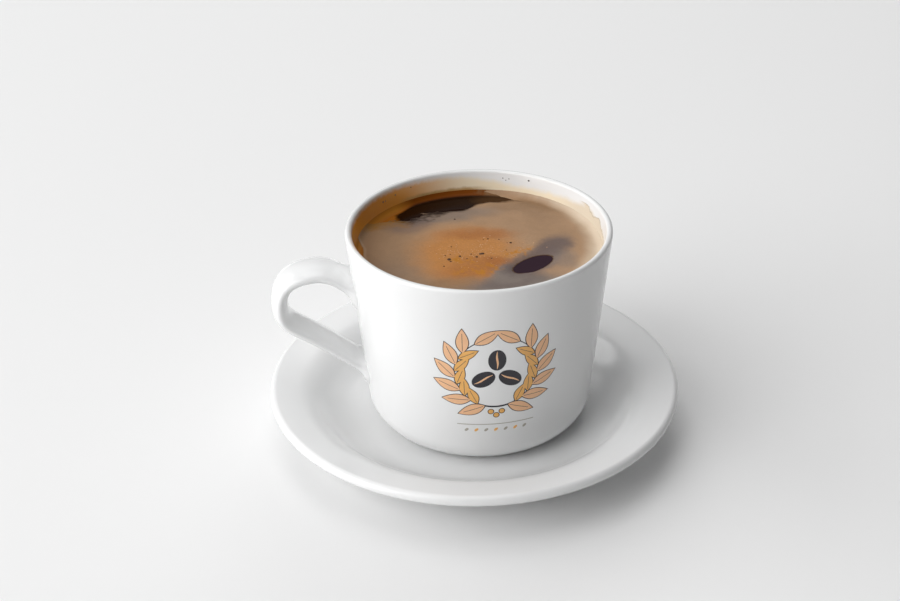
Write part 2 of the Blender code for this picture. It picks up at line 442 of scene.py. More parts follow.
# %% [markdown]
# ## The handle
#
# The handle is a strap of oval section. A caster would pull it from a mould and stick it on with
# slip, which leaves a small fillet where it meets the wall. It is drawn as a smooth path with a
# round section, made a mesh and stretched sideways. Points close to the wall are then pushed
# outwards, which makes the fillet. A cone trims the ends inside the wall, and a union joins strap
# and cup into one skin.

# %% The strap's path
HANDLE_WIDTH = 15.1
HANDLE_THICKNESS = 5.9
HANDLE_TAPER = 0.09
HANDLE_ROUTE = (
    (41.1, 58.1), (50.2, 68.6), (59.6, 70.0), (69.3, 66.1), (71.6, 58.4),
    (70.6, 50.4), (64.5, 46.7), (55.3, 40.5), (45.4, 32.5), (37.4, 25.6),
)


def handle_path():
    """Draw the strap's middle line, thicker at its upper end."""
    clean_slate()
    bpy.ops.curve.primitive_nurbs_path_add(location=(0.0, 0.0, 0.0))
    path = bpy.context.object
    path.name = "handle_strap"
    line = path.data.splines[0]
    line.points.add(len(HANDLE_ROUTE) - len(line.points))
    last = len(HANDLE_ROUTE) - 1
    for i, (r, z) in enumerate(HANDLE_ROUTE):
        line.points[i].co = (-r * MM, 0.0, z * MM, 1.0)
        line.points[i].radius = 1.0 + HANDLE_TAPER * (1.0 - 2.0 * i / last)
    line.order_u = 4
    line.use_endpoint_u = True
    path.data.resolution_u = 26
    path.data.bevel_depth = HANDLE_THICKNESS / 2.0 * MM
    path.data.bevel_resolution = 14
    path.data.use_fill_caps = True
    return path


def strap_mesh(path):
    """Make the path a closed mesh and stretch it across to its oval section."""
    work_on(path)
    bpy.ops.object.convert(target="MESH")
    strap = bpy.context.object
    edit(strap)
    wide = HANDLE_WIDTH / HANDLE_THICKNESS
    bpy.ops.transform.resize(value=(1.0, wide, 1.0), center_override=(0.0, 0.0, 0.0))
    mend(strap)
    return strap

# %% Fillet
FILLET = 3.6
HANDLE_MIDWAY = 45.0


def end_direction(z):
    """Give the strap's direction at its upper or its lower end."""
    first, second = HANDLE_ROUTE[:2] if z > HANDLE_MIDWAY else HANDLE_ROUTE[-2:]
    return Vector((first[0] - second[0], 0.0, second[1] - first[1])).normalized()


def flare(strap):
    """Push the points near the wall outwards, the nearer the further, as a fillet of slip does."""
    moves = []
    for point in strap.data.vertices:
        x, y, z = point.co / MM
        gap = (math.hypot(x, y) - outer_radius(z)) / math.hypot(1.0, WALL_SLOPE)
        if gap < FILLET:
            along = end_direction(z)
            out = point.normal - along * point.normal.dot(along)
            push = 0.5 * (FILLET - max(gap, 0.0)) ** 2 / FILLET
            moves.append((point, out.normalized() * push * MM))
    for point, move in moves:
        point.co += move
    print("the fillet moves", len(moves), "points")

# %% Trim and place the strap
TRIM_HEIGHTS = (18.3, 73.4)
TRIM_DEPTH = 2.1


def combine(piece, tool, operation):
    """Cut a piece with a tool or join the two, and remove the tool."""
    step = piece.modifiers.new("combine", "BOOLEAN")
    step.operation = operation
    step.object = tool
    apply(piece, step)
    bpy.data.objects.remove(tool)


def trim(strap):
    """Cut the strap's ends off inside the wall with a cone."""
    low, high = TRIM_HEIGHTS
    clean_slate()
    bpy.ops.mesh.primitive_cone_add(
        vertices=TURN_STEPS,
        radius1=(outer_radius(low) - TRIM_DEPTH) * MM,
        radius2=(outer_radius(high) - TRIM_DEPTH) * MM,
        depth=(high - low) * MM,
        location=(0.0, 0.0, (low + high) / 2.0 * MM),
    )
    combine(strap, bpy.context.object, "DIFFERENCE")


strap = strap_mesh(handle_path())
flare(strap)
trim(strap)
set_down(strap, CUP_MIDDLE)
report(strap)

# %% Join the handle to the cup
JOINED_SHARP_DEG = 40.0

combine(cup, strap, "UNION")
work_on(cup)
bpy.ops.object.shade_smooth_by_angle(angle=math.radians(JOINED_SHARP_DEG))
report(cup)

# %% [markdown]
# ## The coffee
#
# The drink fills the cup to nine millimetres below its rim. A liquid that wets china climbs it, so
# its surface curves up by almost two millimetres at the wall. Its side reaches a little into the
# porcelain, so that no gap can show between them.

# %% Coffee
LEVEL = 73.4
INTO_WALL = 0.2
MENISCUS = (
    (40.4, 0.0), (41.3, 0.12), (42.1, 0.45), (42.8, 1.0), (43.3, 1.85),
)
CLIMB = MENISCUS[-1][1]
COFFEE_FLOOR = 12.9
COFFEE_CORNER = 9.7
COFFEE_CLEAR = 0.3

coffee_corners = [(0.0, LEVEL, 0.0)]
coffee_corners += [(r, LEVEL + rise, 0.0) for r, rise in MENISCUS]
coffee_corners += [
    (inner_radius(LEVEL + CLIMB) + INTO_WALL, LEVEL + CLIMB, 0.0),
    (inner_radius(BEVEL_HEIGHT) + INTO_WALL, BEVEL_HEIGHT, 0.0),
    (inner_radius(COFFEE_FLOOR) - COFFEE_CLEAR, COFFEE_FLOOR, COFFEE_CORNER),
    (0.0, COFFEE_FLOOR, 0.0),
]
coffee = spin(profile("coffee_drink", coffee_corners), CUP_MIDDLE)
report(coffee)

# %% [markdown]
# ## The crema
#
# Crema is a thin foam. Here it covers the drink apart from a bare crescent against the back wall
# and a bare oval at the front right. On the handle's side it stops just short of the wall, and on
# the other side it climbs it. Its outline is worked out as a distance from the nearest of its
# three borders, with smooth noise added so that it is ragged, above all at the crescent's left
# end, where the foam is torn into wisps.

# %% Smooth steps and noise


def waves(x, y, size, seed):
    """Smooth noise from -1 to 1 whose bumps are about as wide as size, in millimetres."""
    return noise.noise(Vector((x / size, y / size, seed)))


def ramp(value, low, high):
    """Go smoothly from 0 at low to 1 at high."""
    share = min(1.0, max(0.0, (value - low) / (high - low)))
    return share * share * (3.0 - 2.0 * share)


def swell(value, up, down):
    """Go smoothly from 0 to 1 between the up limits and back to 0 between the down limits."""
    return ramp(value, *up) * ramp(value, *down)

# %% The crescent's border
WISPY_PART = ((-6.0, -15.0), (-31.0, -26.0))
STRIP_RADIUS = 45.1
STRIP_DRIFT = 0.19
CRESCENT_BACK = 30.8
CRESCENT_TILT = 0.13
CRESCENT_LEVEL_FROM = 9.0
CRESCENT_STEPS = (
    (3.7, -1.5, 5.5),
    (-3.4, -17.0, -24.0),
    (1.9, -24.5, -28.0),
)
CRESCENT_TURN_FROM = -28.0
CRESCENT_TURN = 0.034


def crescent_line(x):
    """Where the crema ends at the back, as a distance from the cup's axis towards the back."""
    line = CRESCENT_BACK + CRESCENT_TILT * (x - max(0.0, x - CRESCENT_LEVEL_FROM))
    for height, start, end in CRESCENT_STEPS:
        line += height * ramp(x, start, end)
    return line - CRESCENT_TURN * max(0.0, CRESCENT_TURN_FROM - x) ** 2


def back_border(x, y, turned):
    """Distance inwards from the crescent, with the strip of foam along the wall on its right."""
    wispy = swell(x, *WISPY_PART)
    ragged = 0.9 * waves(x, y, 4.5, 3.0) + (0.4 + 2.4 * wispy) * waves(x / 3.0, y, 1.5, 7.0)
    ragged += (0.2 + 1.8 * wispy) * waves(x / 2.0, y, 0.8, 5.0)
    back = crescent_line(x) - y + ragged
    if turned < 0.0:
        strip = math.hypot(x, y) - STRIP_RADIUS - STRIP_DRIFT * turned
        back = max(back, strip + 0.4 * waves(x, y, 2.5, 9.0))
    return back


print("the crema ends", round(crescent_line(0.0), 1), "mm behind the axis")

# %% The wall's and the oval's border
OVAL_MIDDLE = (17.2, -14.1)
OVAL_HALF = (8.5, 4.2)
OVAL_DEG = 34.0
REACH = 43.5
SHORE = 41.0
SHORE_SPARE = 3.0
SHORE_SIDE = ((66.0, 84.0), (118.0, 104.0))


def wall_border(x, y, turned):
    """Distance inwards from the wall, which the crema stops short of on the handle's side."""
    limit = REACH + SHORE_SPARE
    limit -= (limit - SHORE) * swell(turned, *SHORE_SIDE)
    return limit - math.hypot(x, y) + 0.35 * waves(x, y, 5.0, 13.0)


def oval_border(x, y):
    """Distance outwards from the bare oval."""
    along = heading(OVAL_DEG)
    u = x - OVAL_MIDDLE[0]
    v = y - OVAL_MIDDLE[1]
    far = math.hypot(
        (u * along.x + v * along.y) / OVAL_HALF[0],
        (v * along.x - u * along.y) / OVAL_HALF[1],
    )
    return (far - 1.0) * OVAL_HALF[1] + 0.3 * waves(x, y, 3.5, 11.0)


def cover(x, y):
    """Distance inwards from the crema's nearest border, in millimetres, below zero outside it."""
    turned = math.degrees(math.atan2(-x, y))
    return min(back_border(x, y, turned), oval_border(x, y), wall_border(x, y, turned))


print("the crema's nearest border lies", round(cover(0.0, 0.0), 1), "mm from the axis")

# %% [markdown]
# The foam follows the climbing liquid. It is thickest away from its borders and sinks under the
# liquid at them. A fine square grid is drawn out to a disc, as round as the cup, its points over
# the bare places are deleted, and it is lifted and given a thickness. The distance from the
# border is kept in the mesh as an attribute, because the foam's colour needs it later.

# %% Height of the foam
CREMA_THICKNESS = 0.45
CREMA_SLOPE = 2.2
CREMA_THINS = (38.0, 42.5)
THINNED_AWAY = 0.6
CREMA_SINK = -0.35


def rise(r):
    """How far the liquid climbs at a distance from the axis."""
    for (r0, z0), (r1, z1) in zip(MENISCUS, MENISCUS[1:]):
        if r < r1:
            return z0 + (z1 - z0) * max(0.0, r - r0) / (r1 - r0)
    return CLIMB


def foam_height(x, y):
    """Height of the foam's upper face over the still level."""
    edge = min(1.0, max(CREMA_SINK, cover(x, y)) / CREMA_SLOPE)
    thin = 1.0 - THINNED_AWAY * ramp(math.hypot(x, y), *CREMA_THINS)
    uneven = 1.0 + 0.08 * waves(x, y, 6.0, 1.0) + 0.04 * waves(x, y, 1.4, 2.0)
    height = CREMA_THICKNESS * thin * uneven * math.sin(edge * math.pi / 2.0)
    return rise(math.hypot(x, y)) + height

# %% Crema foam
GRID = 212
CREMA_SKIN = 0.3
CREMA_CUT = -0.4


def round_grid(piece):
    """Draw a square grid from -1 to 1 out to a disc that reaches into the wall."""
    for point in piece.data.vertices:
        x, y = point.co.x, point.co.y
        point.co.x = x * math.sqrt(1.0 - y * y / 2.0) * REACH * MM
        point.co.y = y * math.sqrt(1.0 - x * x / 2.0) * REACH * MM


def cut_grid(piece):
    """Delete the grid's points out in the bare coffee."""
    bpy.ops.object.mode_set(mode="EDIT")
    bpy.ops.mesh.select_mode(type="VERT")
    bpy.ops.mesh.select_all(action="DESELECT")
    shape = bmesh.from_edit_mesh(piece.data)
    for point in shape.verts:
        point.select = cover(point.co.x / MM, point.co.y / MM) < CREMA_CUT
    bmesh.update_edit_mesh(piece.data)
    bpy.ops.mesh.delete(type="VERT")
    bpy.ops.object.mode_set(mode="OBJECT")


def thicken(piece, thickness):
    """Give a sheet a thickness below its upper face."""
    skin = piece.modifiers.new("thickness", "SOLIDIFY")
    skin.thickness = thickness * MM
    skin.offset = -1.0
    apply(piece, skin)


def make_crema():
    """Cut a fine grid to the crema's outline, lift it and give it a thickness."""
    clean_slate()
    bpy.ops.mesh.primitive_grid_add(
        x_subdivisions=GRID, y_subdivisions=GRID, size=2.0, location=(0.0, 0.0, 0.0)
    )
    foam = bpy.context.object
    foam.name = "crema_foam"
    round_grid(foam)
    cut_grid(foam)
    shore = foam.data.attributes.new("shore", "FLOAT", "POINT")
    for point in foam.data.vertices:
        x, y = point.co.x / MM, point.co.y / MM
        point.co.z = (LEVEL + foam_height(x, y)) * MM
        shore.data[point.index].value = cover(x, y)
    thicken(foam, CREMA_SKIN)
    set_down(foam, CUP_MIDDLE)
    bpy.ops.object.shade_smooth()
    return foam


crema = make_crema()
report(crema)

# %% [markdown]
# ## Bubbles
#
# Bubbles stand in the middle of the crema, where the drink was poured. The larger ones look dark,
# because the black coffee shows through them, and the many small ones are pale. One bubble is
# made from a ball: its bottom is cut off level and it is pressed flat. It is then copied to each
# place at its own size. A few drops have splashed up the wall and dried there. They are the same
# shape, set upright.

# %% One bubble and its copies
BUBBLE_CUT = -0.1
BUBBLE_FLATNESS = 0.42


def one_bubble():
    """Make a ball a millimetre wide, cut its bottom off and press it flat."""
    clean_slate()
    bpy.ops.mesh.primitive_uv_sphere_add(segments=8, ring_count=6, radius=0.5 * MM)
    ball = bpy.context.object
    edit(ball)
    bpy.ops.mesh.bisect(
        plane_co=(0.0, 0.0, BUBBLE_CUT * MM),
        plane_no=(0.0, 0.0, 1.0),
        use_fill=True,
        clear_inner=True,
    )
    bpy.ops.mesh.select_all(action="SELECT")
    bpy.ops.transform.resize(
        value=(1.0, 1.0, BUBBLE_FLATNESS), center_override=(0.0, 0.0, 0.0)
    )
    mend(ball)
    return ball


def copy_to(pattern, place, facing, scale):
    """Copy a pattern, with a mesh of its own, to a place in millimetres."""
    copy = pattern.copy()
    copy.data = pattern.data.copy()
    bpy.context.collection.objects.link(copy)
    copy.location = [v * MM for v in place]
    copy.rotation_euler = facing
    copy.scale = scale
    return copy


def join_up(name, copies):
    """Join copies into one piece with its place in its mesh."""
    clean_slate()
    for copy in copies:
        copy.select_set(True)
    bpy.context.view_layer.objects.active = copies[0]
    bpy.ops.object.join()
    joined = bpy.context.object
    joined.name = name
    settle(joined)
    return joined


def sow(name, spots, lay):
    """Copy the bubble to each spot as lay says, and join the copies."""
    pattern = one_bubble()
    sown = join_up(name, [copy_to(pattern, *lay(*spot)) for spot in spots])
    bpy.data.objects.remove(pattern)
    bpy.ops.object.shade_smooth()
    report(sown)
    return sown

# %% Bubbles on the foam
DARK_BUBBLES = (
    (-11.4, -7.6, 1.5), (-11.0, -9.1, 0.8), (-13.7, -12.2, 0.7), (-12.4, -4.6, 0.6),
    (-10.6, -3.9, 0.5), (-9.6, 1.6, 0.6), (-7.4, -5.8, 1.0), (-5.2, -7.8, 0.6),
    (-3.3, -4.7, 0.7), (-1.6, -7.0, 1.0), (-0.1, -5.0, 1.1), (0.7, -4.9, 1.3),
    (2.3, 5.4, 0.5), (3.4, -8.7, 0.7), (4.0, 5.8, 0.7), (7.8, 4.9, 0.6),
    (10.4, 1.8, 0.5), (11.6, 1.8, 1.0), (9.3, -3.4, 0.5), (-6.0, 22.6, 0.8),
)
PALE_BUBBLES = 150
PALE_WIDTHS = (0.2, 0.5)
PALE_FIELD = ((-1.0, -3.0), (7.5, 4.75))
PALE_SEED = 11
BUBBLE_LIFT = 0.01


def on_foam(x, y, width):
    """Give a bubble's place on the foam, its turn and its scale."""
    z = LEVEL + foam_height(x, y) + BUBBLE_LIFT
    return (CUP_MIDDLE[0] + x, CUP_MIDDLE[1] + y, z), (0.0, 0.0, 0.0), (width, width, width)


def pale_spots():
    """Scatter small bubbles, closer together towards the middle of their field."""
    dice = random.Random(PALE_SEED)
    (middle_x, middle_y), (spread_x, spread_y) = PALE_FIELD
    spots = []
    while len(spots) < PALE_BUBBLES:
        x, y = dice.gauss(middle_x, spread_x), dice.gauss(middle_y, spread_y)
        width = dice.uniform(*PALE_WIDTHS)
        if cover(x, y) > 1.0:
            spots.append((x, y, width))
    return spots


dark_bubbles = sow("crema_dark_bubbles", DARK_BUBBLES, on_foam)
pale_bubbles = sow("crema_pale_bubbles", pale_spots(), on_foam)

# %% Dried drops on the wall
DRIED_DROPS = (
    (-32.0, 80.2, 0.8),
    (-19.0, 79.9, 0.5),
    (-20.5, 79.2, 0.4),
    (-22.0, 79.8, 0.45),
    (27.5, 79.7, 0.6),
    (37.0, 78.9, 0.8),
    (45.5, 78.5, 0.9),
    (43.8, 78.4, 0.6),
)
DROP_STANDS_OUT = 0.02
DROP_FLATNESS = 0.5


def on_wall(turn_deg, z, width):
    """Give a drop's place on the inside of the wall, its turn to the axis and its scale."""
    turned = math.radians(turn_deg)
    way = Vector((-math.sin(turned), math.cos(turned), 0.0))
    place = way * (inner_radius(z) - DROP_STANDS_OUT) + Vector((*CUP_MIDDLE, z))
    facing = (-way).to_track_quat("Z", "Y").to_euler()
    return place, facing, (width, width, width * DROP_FLATNESS)


dried_drops = sow("dried_drops", DRIED_DROPS, on_wall)

# %% [markdown]
# ## The printed design
#
# Cups like this carry a transfer print: it is printed flat in ceramic colours, soaked off its
# paper, slid on to the glaze and fired. It is made the same way here. Each shape starts as a flat
# grid whose points are drawn out to a leaf, a bean or a stroke, because a grid has points enough
# to bend later. The shapes are copied to their places on the flat, given the thickness of a
# coat of colour, and wrapped round the wall. The design is a plain one: two sprigs of leaves round
# three coffee beans, over a thin rule and a row of dots.

# %% Printed shapes
STEM_RADIUS = 14.5
STEM_WIDTH = 0.45
STEM_FROM = -97.0
STEM_TO = 58.0


def leaf_shape(s, t):
    """A leaf, pointed at both ends and widest below its middle."""
    return s, t * (1.0 - s * s) * (1.0 - 0.25 * s)


def oval_shape(s, t):
    """A circle, to be drawn out to a bean or a berry."""
    return math.sin(s * math.pi / 2.0), t * math.cos(s * math.pi / 2.0)


def seam_shape(s, t):
    """A wavy stroke that tapers to both ends."""
    return s, 0.55 * math.sin(s * math.pi) + t * (1.0 - 0.8 * s * s)


def stroke_shape(s, t):
    """A straight stroke."""
    return s, t


def stem_shape(s, t):
    """An arc of a ring, in millimetres, tapered towards its tip."""
    away = STEM_RADIUS + t * STEM_WIDTH / 2.0 * (1.15 - 0.4 * s)
    return heading(STEM_FROM + (STEM_TO - STEM_FROM) * (s + 1.0) / 2.0) * away

# %% Patterns for the print


def flat_shape(name, shape, along, across):
    """Draw a flat shape out of a grid; shape turns (s, t) from -1 to 1 into millimetres."""
    clean_slate()
    bpy.ops.mesh.primitive_grid_add(
        x_subdivisions=along, y_subdivisions=across, size=2.0, location=(0.0, 0.0, 0.0)
    )
    piece = bpy.context.object
    piece.name = name
    for point in piece.data.vertices:
        x, y = shape(point.co.x, point.co.y)
        point.co = (x * MM, y * MM, 0.0)
    mend(piece)
    return piece


patterns = {
    "leaf": flat_shape("leaf", leaf_shape, 12, 4),
    "oval": flat_shape("oval", oval_shape, 14, 8),
    "seam": flat_shape("seam", seam_shape, 14, 1),
    "stroke": flat_shape("stroke", stroke_shape, 24, 1),
    "stem": flat_shape("stem", stem_shape, 44, 1),
}
print("drew", sorted(patterns))

# %% [markdown]
# The layout is a list of marks, each with its layer, shape, place, turn and half size. The leaves
# sit in turn outside and inside a ring-shaped stem, and the left sprig mirrors the right one.

# %% Leaves and stems
OUTLINE = 0.28
VEIN = 0.09
LEAVES = 12
FIRST_LEAF_DEG = -74.0
LEAF_STEP_DEG = 11.0
LEAF_LEAN = 38.0
OUTER_LEAF = (4.9, 2.05)
INNER_LEAF = (3.7, 1.6)
LEAF_KINDS = (("peach", OUTER_LEAF, 90.0 - LEAF_LEAN), ("gold", INNER_LEAF, 90.0 + LEAF_LEAN))
marks = []


def mark(layer, shape, place, turn_deg, half):
    """Add one mark to the layout."""
    marks.append((layer, shape, place, turn_deg, half))


def leaf(colour, foot, turn_deg, half):
    """Add a leaf with a dark outline and a dark midrib, from its foot outwards."""
    way = heading(turn_deg)
    middle = foot + way * half[0]
    mark("dark", "leaf", middle, turn_deg, (half[0] + OUTLINE * 1.6, half[1] + OUTLINE))
    mark(colour, "leaf", middle, turn_deg, half)
    mark("veins", "stroke", middle - way * half[0] * 0.12, turn_deg, (half[0] * 0.74, VEIN))


def sprig(side):
    """Add one sprig: its stem, its leaves in turn outside and inside, and one at its tip."""
    mark("dark", "stem", (0.0, 0.0), 0.0, (side, 1.0))
    for i in range(LEAVES):
        at_deg = FIRST_LEAF_DEG + LEAF_STEP_DEG * i
        colour, half, lean = LEAF_KINDS[i % 2]
        if i == LEAVES - 1:
            colour, half, lean = "peach", OUTER_LEAF, 90.0
            at_deg = STEM_TO
        foot = heading(at_deg) * STEM_RADIUS
        foot.x *= side
        turned = at_deg + lean
        leaf(colour, foot, turned if side > 0 else 180.0 - turned, half)


sprig(1.0)
sprig(-1.0)
print("the sprigs have", len(marks), "marks")

# %% Beans, berries, rule and dots
BEAN = (4.3, 3.1)
BEAN_AWAY = 5.3
BEAN_TURNS = (90.0, 210.0, 330.0)
SEAM = (BEAN[0] * 0.84, 0.34)
BERRIES = ((-1.9, -16.6), (1.9, -16.6), (0.0, -18.2))
BERRY = 0.88
BERRY_OUTLINE = 1.15
RULE_HEIGHT = -22.2
RULE = (13.5, 0.16)
DOT_HEIGHT = -24.6
DOT_STEP = 3.4
DOT = (0.85, 0.5)

for turn_deg in BEAN_TURNS:
    middle = heading(turn_deg) * BEAN_AWAY
    mark("dark", "oval", middle, turn_deg, BEAN)
    mark("peach", "seam", middle, turn_deg, SEAM)
for berry in BERRIES:
    mark("dark", "oval", berry, 0.0, (BERRY_OUTLINE, BERRY_OUTLINE))
    mark("gold", "oval", berry, 0.0, (BERRY, BERRY))
mark("grey", "stroke", (0.0, RULE_HEIGHT), 0.0, RULE)
for i in range(-3, 4):
    mark("grey" if i % 2 else "gold", "oval", (DOT_STEP * i, DOT_HEIGHT), 45.0, DOT)
print("the print has", len(marks), "marks")

# %% [markdown]
# Each layer's marks are copied, joined, thickened and wrapped. The dark outlines and the grey lie
# lowest, the colours over them and the veins on top, each a hundredth or two of a millimetre
# higher. Faces that look down, as a mirrored copy's do, are flipped before the layer gets its
# thickness.

# %% Wrap the print
PRINT_TURN = math.radians(0.7)
PRINT_HEIGHT = 49.0
INTO_GLAZE = 0.05
LAYER_TOPS = {"dark": 0.03, "grey": 0.03, "gold": 0.045, "peach": 0.045, "veins": 0.06}


def wrap(piece):
    """Bend a flat piece round the cup's wall: across becomes round, up stays up."""
    for point in piece.data.vertices:
        u, v, out = point.co / MM
        z = PRINT_HEIGHT + v
        turned = PRINT_TURN + u / outer_radius(z)
        r = outer_radius(z) + out
        x = CUP_MIDDLE[0] + r * math.sin(turned)
        y = CUP_MIDDLE[1] - r * math.cos(turned)
        point.co = (x * MM, y * MM, z * MM)


def print_layer(layer, top):
    """Copy, join, thicken and wrap the marks of one layer."""
    copies = [
        copy_to(patterns[shape], (*place, 0.0), (0.0, 0.0, math.radians(turn_deg)), (*half, 1.0))
        for in_layer, shape, place, turn_deg, half in marks
        if in_layer == layer
    ]
    made = join_up("print_" + layer, copies)
    for face in made.data.polygons:
        if face.normal.z < 0.0:
            face.flip()
    for point in made.data.vertices:
        point.co.z = top * MM
    thicken(made, top + INTO_GLAZE)
    wrap(made)
    made.data.update()
    report(made)
    return made


print_layers = {layer: print_layer(layer, top) for layer, top in LAYER_TOPS.items()}
for pattern in patterns.values():
    bpy.data.objects.remove(pattern)

# %% [markdown]
# ## Small helpers for materials
#
# A material is a graph of nodes. These helpers add a node with its inputs, do sums, fade between
# two limits and mix two colours, so that each recipe below is short.

# %% Nodes and sums


def add(tree, kind, inputs, **settings):
    """Add a node, set it up and fill its inputs."""
    made = tree.nodes.new("ShaderNode" + kind)
    for name, value in settings.items():
        setattr(made, name, value)
    fill(tree, made, inputs)
    return made


def sum_up(tree, operation, *values):
    """Do one sum on numbers or sockets."""
    return add(tree, "Math", dict(enumerate(values)), operation=operation).outputs[0]


def minus(tree, first, second):
    """Subtract one number or socket from another."""
    return sum_up(tree, "SUBTRACT", first, second)


def times(tree, *factors):
    """Multiply numbers or sockets."""
    product = factors[0]
    for factor in factors[1:]:
        product = sum_up(tree, "MULTIPLY", product, factor)
    return product


def times_plus(tree, value, factor, start):
    """Multiply a value by a factor and add a start to it."""
    return sum_up(tree, "MULTIPLY_ADD", value, factor, start)


def sum_vectors(tree, operation, *vectors):
    """Do one sum on vectors."""
    return add(tree, "VectorMath", dict(enumerate(vectors)), operation=operation).outputs[0]

# %% Fades and mixes


def fade(tree, value, low, high):
    """Go smoothly from 0 at low to 1 at high."""
    inputs = {"Value": value, "From Min": low, "From Max": high}
    return add(tree, "MapRange", inputs, interpolation_type="SMOOTHSTEP").outputs["Result"]


def band(tree, value, up, down):
    """Go smoothly from 0 to 1 between the up limits and back to 0 between the down limits."""
    return times(tree, fade(tree, value, *up), fade(tree, value, *down))


def mix(tree, share, first, second):
    """Mix two colours, given as sockets or as red, green and blue."""
    inputs = {0: share}
    for slot, colour in ((6, first), (7, second)):
        inputs[slot] = colour if isinstance(colour, bpy.types.NodeSocket) else (*colour, 1.0)
    return add(tree, "Mix", inputs, data_type="RGBA").outputs[2]

# %% Places


def place_on(tree, middle=(0.0, 0.0)):
    """Give the piece's own coordinates in millimetres, from a middle."""
    inputs = {
        "Vector": add(tree, "TexCoord", {}).outputs["Object"],
        "Location": (-middle[0], -middle[1], 0.0),
        "Scale": (1.0 / MM, 1.0 / MM, 1.0 / MM),
    }
    return add(tree, "Mapping", inputs).outputs["Vector"]


def axes(tree, place):
    """Split a place into its X, Y and Z."""
    return add(tree, "SeparateXYZ", {0: place}).outputs


def flatten(tree, place):
    """Keep a place's x and y only."""
    return sum_vectors(tree, "MULTIPLY", place, (1.0, 1.0, 0.0))


def length(tree, vector):
    """Give a vector's length."""
    return add(tree, "VectorMath", {0: vector}, operation="LENGTH").outputs["Value"]


def turn_round(tree, place):
    """Turn about the cup's axis in degrees: 0 at the back and 90 at the handle."""
    across = axes(tree, place)
    turned = sum_up(tree, "ARCTAN2", times(tree, across["X"], -1.0), across["Y"])
    return sum_up(tree, "DEGREES", turned)

# %% Noise and patches


def cloud(tree, vector, size, detail=3.0, rough=0.5):
    """Noise from 0 to 1 whose patches are about as wide as size."""
    inputs = {"Vector": vector, "Scale": 1.0 / size, "Detail": detail, "Roughness": rough}
    return add(tree, "TexNoise", inputs).outputs["Fac"]


def stir(tree, place, size, amount):
    """Shift a place by smooth noise, so that what is painted on it gets swirled borders."""
    swirl = add(tree, "TexNoise", {"Vector": place, "Scale": 1.0 / size, "Detail": 3.0})
    centred = sum_vectors(tree, "SUBTRACT", swirl.outputs["Color"], (0.5, 0.5, 0.5))
    return sum_vectors(tree, "MULTIPLY_ADD", centred, (amount, amount, 0.0), place)


def patch(tree, place, middle, half, turn_deg, soft):
    """Mask an ellipse with a soft border: 1 inside it and 0 outside."""
    inputs = {
        "Vector": place,
        "Location": (*middle, 0.0),
        "Rotation": (0.0, 0.0, math.radians(turn_deg)),
        "Scale": (*half, 1.0),
    }
    inside = add(tree, "Mapping", inputs, vector_type="TEXTURE").outputs["Vector"]
    return fade(tree, length(tree, inside), 1.0 + soft, 1.0 - soft)

# %% [markdown]
# ## Glazed porcelain
#
# Hard white porcelain under a clear glaze is nearly white and very smooth. The glaze isn't
# perfectly even: it is a little wavy, its gloss varies slightly, and the foot that the piece
# was fired on is bare and dull. A Principled shader does it with a low roughness, a very weak
# bump and a mask by height.

# %% Porcelain
PORCELAIN_WHITE = (0.77, 0.77, 0.765)
PORCELAIN_COOL = (0.755, 0.76, 0.765)
PORCELAIN_BARE = (0.78, 0.76, 0.72)
SAUCER_BARE_BELOW = 0.15
CUP_BARE_BELOW = 7.4


def glaze(tree, bare_below):
    """White glazed porcelain whose lowest face is bare."""
    place = place_on(tree)
    bare = fade(tree, axes(tree, place)["Z"], bare_below + 0.1, bare_below)
    white = mix(tree, cloud(tree, place, 30.0), PORCELAIN_WHITE, PORCELAIN_COOL)
    dull = times_plus(tree, cloud(tree, place, 12.0), 0.06, 0.13)
    wavy = cloud(tree, place, 9.0, detail=1.0)
    bump = add(tree, "Bump", {"Height": wavy, "Strength": 0.15, "Distance": 0.02 * MM})
    return {
        "Base Color": mix(tree, bare, white, PORCELAIN_BARE),
        "Roughness": times_plus(tree, bare, 0.5, dull),
        "Normal": bump.outputs["Normal"],
        "IOR": 1.5,
    }


dress(saucer, "saucer porcelain", glaze, SAUCER_BARE_BELOW)
print("glazed the saucer")

# %% [markdown]
# ## The film inside the cup
#
# Where the coffee has washed up the wall it leaves a film. It is deep amber at the handle's side,
# where it ran down last, and thin and creamy round the back and the right. At the far right it
# has dried with a stepped brown border, as a tide does on sand. The film is a stain on the glaze,
# so it is painted: a mask by height, whose edge follows a curve round the cup, and a colour that
# changes on the way round. Turns are in degrees, 0 at the back and 90 at the handle.

# %% The film's edges
FILM_LOW = 74.0
FILM_HIGH = 84.0
FILM_EDGE = (
    (-180.0, 79.0), (-130.0, 79.0), (-95.0, 78.6), (-80.0, 79.3), (-70.0, 80.1), (-60.0, 79.2),
    (-45.0, 78.6), (-30.0, 78.3), (-15.0, 79.5), (0.0, 80.9), (15.0, 81.5), (30.0, 81.8),
    (45.0, 82.0), (60.0, 82.0), (75.0, 81.9), (108.0, 82.8), (130.0, 80.5), (180.0, 79.0),
)
TIDE_LINE = (
    (-180.0, 77.6), (-110.0, 77.4), (-96.0, 77.2), (-88.0, 77.6), (-83.0, 79.0), (-80.0, 78.9),
    (-76.0, 78.1), (-72.0, 79.4), (-67.0, 79.9), (-50.0, 79.9), (180.0, 79.9),
)


def line_round(tree, turned, heights):
    """Give the height of a line round the wall, from (turn, height) points."""
    curve = add(tree, "FloatCurve", {"Value": times_plus(tree, turned, 1.0 / 360.0, 0.5)})
    points = curve.mapping.curves[0].points
    span = FILM_HIGH - FILM_LOW
    spots = [(turn_deg / 360.0 + 0.5, (z - FILM_LOW) / span) for turn_deg, z in heights]
    points[0].location, points[1].location = spots[0], spots[-1]
    for spot in spots[1:-1]:
        points.new(*spot)
    curve.mapping.update()
    return times_plus(tree, curve.outputs["Value"], span, FILM_LOW)

